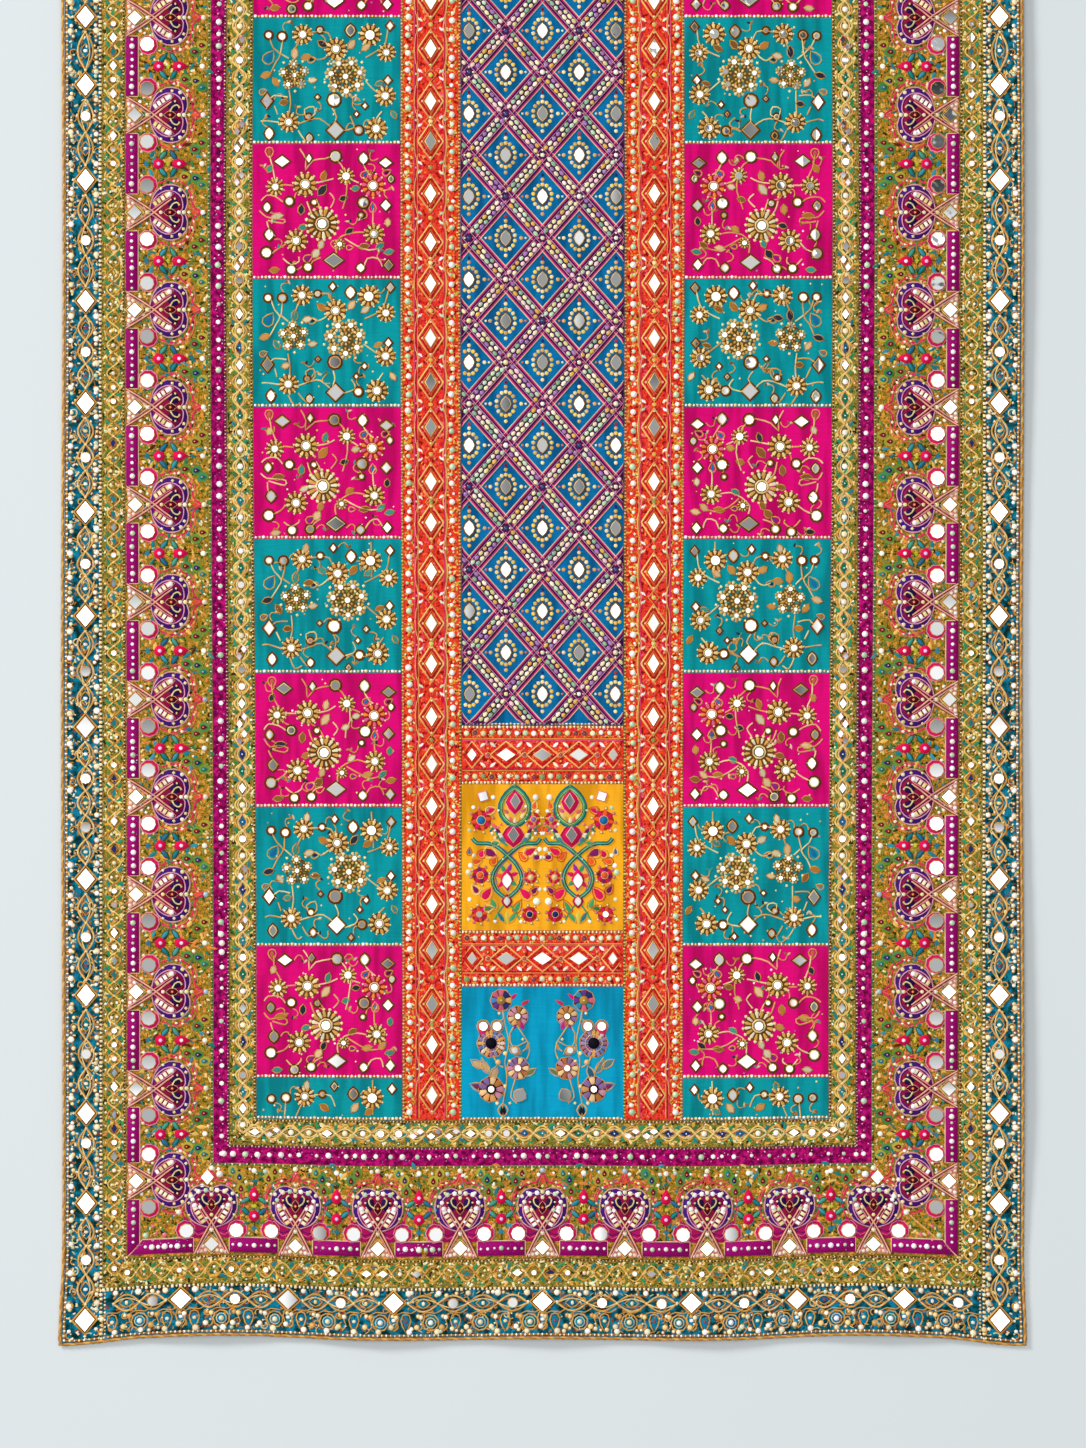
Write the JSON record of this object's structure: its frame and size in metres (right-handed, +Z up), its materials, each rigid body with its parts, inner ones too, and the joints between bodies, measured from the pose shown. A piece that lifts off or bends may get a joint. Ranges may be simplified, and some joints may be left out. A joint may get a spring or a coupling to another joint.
{
  "type": "mirror work dupatta",
  "caption": "Long rectangular festive stole laid flat: silk patches and bands pieced inside mitred, mirror-worked needlework borders, with a corded edge.",
  "frame": {"origin": "middle of the laid cloth, on the ground under it", "axes": "+Y along the cloth towards the far hem, +X across it to the right, +Z up out of its face"},
  "size_m": [0.969, 2.2674, 0.008],
  "materials": {
    "teal_velvet": "soft pile with couched gold thread",
    "olive_needlework": "dense matt stitching",
    "medallion_needlework": "dense stitching round purple velvet applique",
    "magenta_silk": "silk with a beaded line",
    "teal_silk": "dupion silk, soft sheen",
    "pink_silk": "dupion silk, soft sheen",
    "orange_needlework": "dense stitching",
    "blue_silk": "dupion silk, soft sheen",
    "yellow_silk": "dupion silk, soft sheen",
    "lattice_silk": "blue silk pockets under couched straps",
    "gold_piping": "metallic gold cord"
  },
  "bodies": {
    "root": {"left_teal_border": "teal_velvet", "left_outer_olive_band": "olive_needlework", "left_medallion_border": "medallion_needlework", "left_magenta_band": "magenta_silk", "left_inner_olive_band": "olive_needlework", "right_teal_border": "teal_velvet", "right_outer_olive_band": "olive_needlework", "right_medallion_border": "medallion_needlework", "right_magenta_band": "magenta_silk", "right_inner_olive_band": "olive_needlework", "near_teal_border": "teal_velvet", "near_outer_olive_band": "olive_needlework", "near_medallion_border": "medallion_needlework", "near_magenta_band": "magenta_silk", "near_inner_olive_band": "olive_needlework", "far_teal_border": "teal_velvet", "far_outer_olive_band": "olive_needlework", "far_medallion_border": "medallion_needlework", "far_magenta_band": "magenta_silk", "far_inner_olive_band": "olive_needlework", "left_patch_01": "teal_silk", "left_patch_02": "pink_silk", "left_patch_03": "teal_silk", "left_patch_04": "pink_silk", "left_patch_05": "teal_silk", "left_patch_06": "pink_silk", "left_patch_07": "teal_silk", "left_patch_08": "pink_silk", "left_patch_09": "teal_silk", "left_patch_10": "pink_silk", "left_patch_11": "teal_silk", "left_patch_12": "pink_silk", "left_patch_13": "teal_silk", "left_patch_14": "pink_silk", "left_patch_15": "teal_silk", "left_orange_band": "orange_needlework", "right_patch_01": "teal_silk", "right_patch_02": "pink_silk", "right_patch_03": "teal_silk", "right_patch_04": "pink_silk", "right_patch_05": "teal_silk", "right_patch_06": "pink_silk", "right_patch_07": "teal_silk", "right_patch_08": "pink_silk", "right_patch_09": "teal_silk", "right_patch_10": "pink_silk", "right_patch_11": "teal_silk", "right_patch_12": "pink_silk", "right_patch_13": "teal_silk", "right_patch_14": "pink_silk", "right_patch_15": "teal_silk", "right_orange_band": "orange_needlework", "near_cross_band": "orange_needlework", "middle_cross_band": "orange_needlework", "blue_flower_patch": "blue_silk", "yellow_tree_patch": "yellow_silk", "lattice_panel": "lattice_silk", "edge_piping": "gold_piping"}
  },
  "joints": []
}
